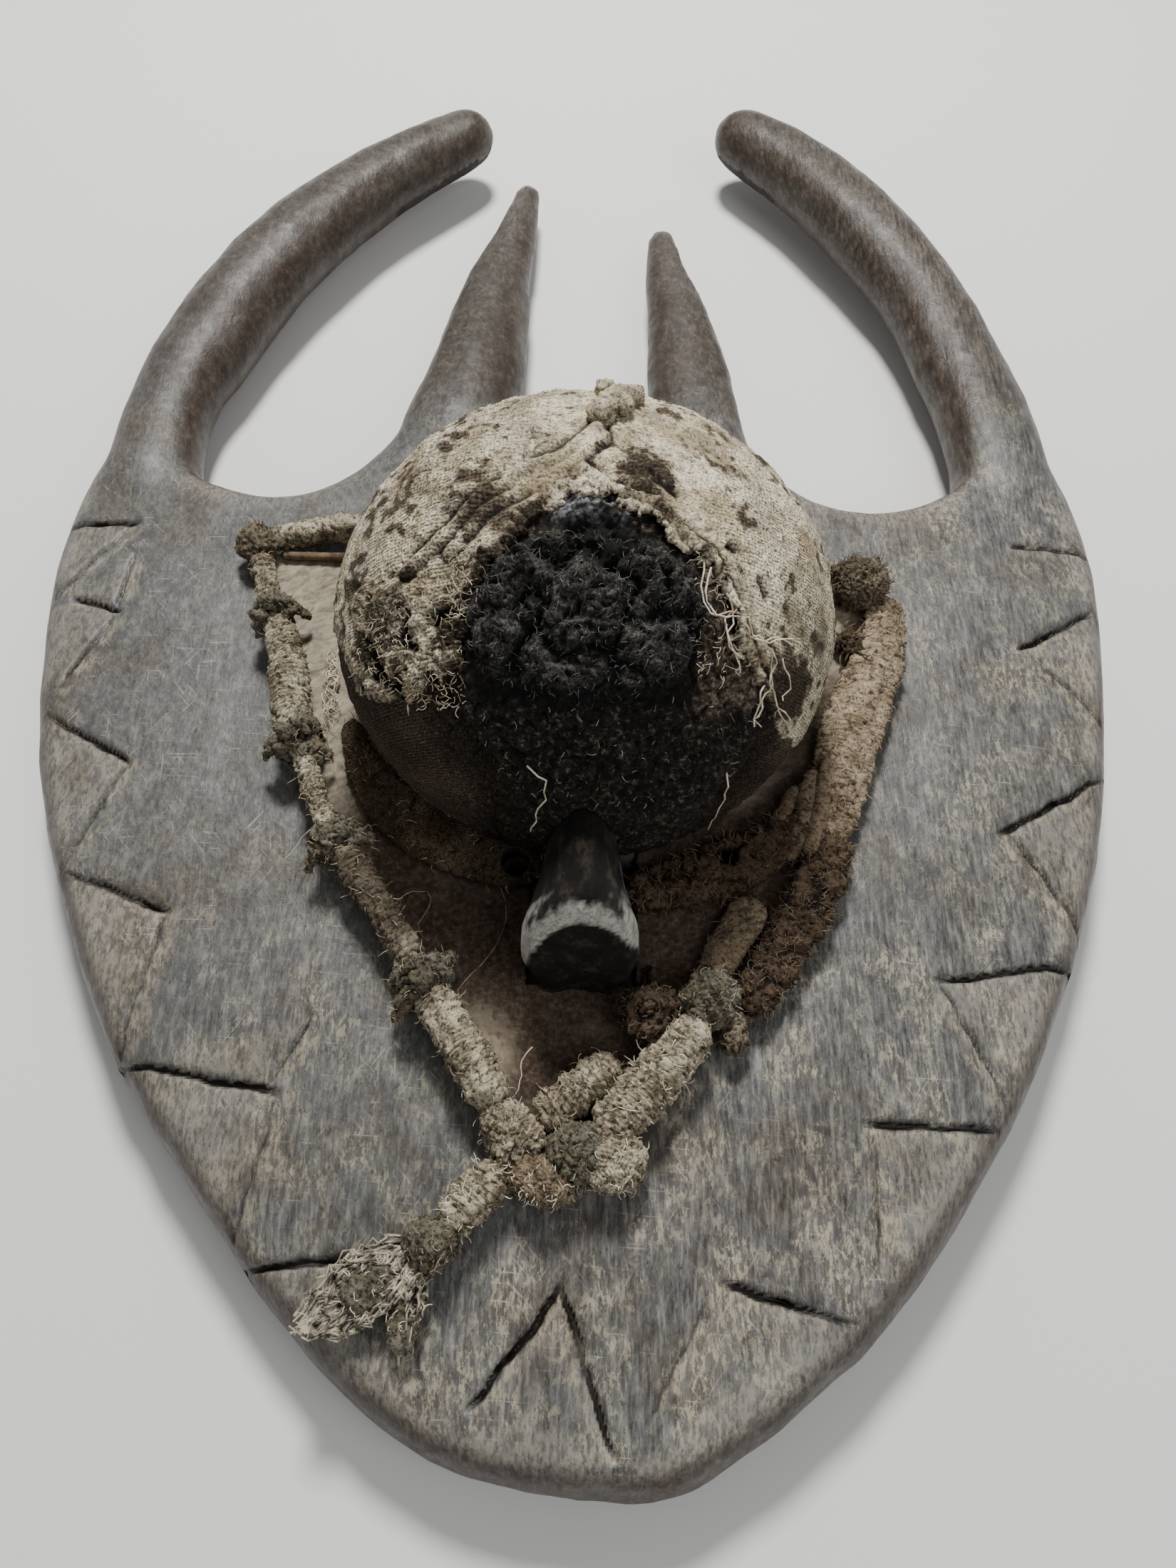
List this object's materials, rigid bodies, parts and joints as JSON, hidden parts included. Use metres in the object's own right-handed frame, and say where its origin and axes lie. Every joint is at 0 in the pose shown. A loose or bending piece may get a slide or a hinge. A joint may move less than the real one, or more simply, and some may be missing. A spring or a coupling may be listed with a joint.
{
  "type": "carved wooden face mask",
  "caption": "Carved wooden face mask with long in-curving horns, pointed ears, a cloth-capped forehead dome and knotted cloth borders, hollow behind.",
  "frame": {"origin": "bottom centre of the bounding box: on the surface the mask lies on, below the middle of its length and width", "axes": "+Z out of the face, +Y from the chin towards the horn tips, +X to the right as the face is looked at"},
  "size_m": [0.396, 0.588, 0.1402],
  "materials": {
    "wood": "worn grey-brown patina, dusty in the cuts, satin",
    "cloth": "coarse plain weave, soiled and torn",
    "crust": "dry, crumbly, packed fibre and earth",
    "hide": "dry, matt, crackled",
    "rolls": "rolled, wound and frayed cloth, matt",
    "fur": "matted hair and fibre",
    "reed": "thin dark stick, matt"
  },
  "bodies": {
    "root": {"wooden_body": "wood", "forehead_cloth": "cloth", "forehead_crust": "crust", "face_hide": "hide", "brow_band_left": "rolls", "brow_band_right": "rolls", "left_border_roll": "rolls", "right_border_roll": "rolls", "right_inner_roll": "rolls", "right_loose_end": "rolls", "right_folded_strip": "rolls", "right_fur_mass": "fur", "right_upper_roll": "rolls", "top_left_roll": "rolls", "fur_ball_stem": "fur", "tassel_segment": "rolls", "tassel_tuft": "rolls", "tassel_second_lobe": "rolls", "left_tie_1": "rolls", "left_tie_2": "rolls", "left_tie_3": "rolls", "left_tie_4": "rolls", "left_corner_knot": "rolls", "left_end_knot": "rolls", "chin_knot_left": "rolls", "chin_knot_middle": "rolls", "chin_knot_right": "rolls", "right_knot": "rolls", "fur_ball": "fur", "hair_ball": "fur", "dark_tuft": "fur", "tassel_knot": "rolls", "top_left_reed": "reed"}
  },
  "joints": []
}
